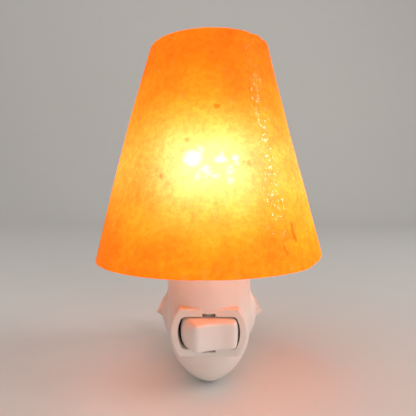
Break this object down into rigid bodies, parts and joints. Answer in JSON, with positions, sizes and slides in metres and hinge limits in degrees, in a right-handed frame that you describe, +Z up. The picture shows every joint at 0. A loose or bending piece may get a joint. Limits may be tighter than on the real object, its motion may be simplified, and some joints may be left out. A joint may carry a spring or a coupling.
{
  "type": "plug-in salt lamp",
  "caption": "Plug-in night light with a turned cone of glowing salt on a white neck, a front rocker switch, a screw-in bulb and flat plug blades.",
  "frame": {"origin": "centre of the outlet face, midway between the two plug blades", "axes": "+Y into the wall along the blades, +Z up along the lamp's axis, the switch faces -Y"},
  "size_m": [0.0795, 0.0995, 0.1201],
  "materials": {
    "salt": "finely pitted, translucent",
    "housing_white": "moulded, satin gloss",
    "rocker_white": "moulded, gloss",
    "insert_white": "moulded, matte",
    "insulator_dark": "pressed, matte",
    "brass": "rolled",
    "steel": "bright",
    "solder": "tinned",
    "bulb_glass": "clear",
    "stem_glass": "clear",
    "filament": "hot wire"
  },
  "bodies": {
    "base": {"front_housing": "housing_white", "rear_housing": "housing_white", "switch_base": "insulator_dark", "line_strip": "brass", "load_strip": "brass", "neutral_strip": "brass", "lampholder_insert": "insert_white", "lampholder_shell": "brass", "blade_line": "brass", "blade_neutral": "brass", "housing_screws": "steel"},
    "rocker": {"rocker": "rocker_white", "switch_spring": "steel", "switch_plunger": "brass"},
    "seesaw": {"switch_contact": "brass"},
    "shade": {"salt_shade": "salt"},
    "bulb_lift": {"bulb_contact": "solder"},
    "bulb": {"bulb_glass": "bulb_glass", "bulb_cap": "brass", "bulb_insulator": "insulator_dark", "bulb_stem": "stem_glass", "bulb_leads": "steel", "bulb_filament": "filament"}
  },
  "joints": [
    {"name": "rocker_tip", "type": "hinge", "parent": "base", "child": "rocker", "pos_m": [0, -0.0538, 0.0016], "axis": [0, 0, 1], "range_deg": [-30, 0]},
    {"name": "contact_tip", "type": "hinge", "parent": "base", "child": "seesaw", "pos_m": [0, -0.048, 0.0016], "axis": [0, 0, 1], "range_deg": [0, 18]},
    {"name": "shade_lift", "type": "slide", "parent": "base", "child": "shade", "axis": [0, 0, 1], "range_m": [0, 0.065]},
    {"name": "bulb_rise", "type": "slide", "parent": "base", "child": "bulb_lift", "axis": [0, 0, 1], "range_m": [0, 0.00889]},
    {"name": "bulb_turn", "type": "hinge", "parent": "bulb_lift", "child": "bulb", "pos_m": [0, -0.043, 0.05], "axis": [0, 0, 1], "range_deg": [0, 1260]}
  ],
  "couplings": [
    {"joint": "contact_tip", "follows": "rocker_tip", "ratio": -0.6},
    {"joint": "bulb_turn", "follows": "bulb_rise", "rad_per_m": 2473.7}
  ]
}
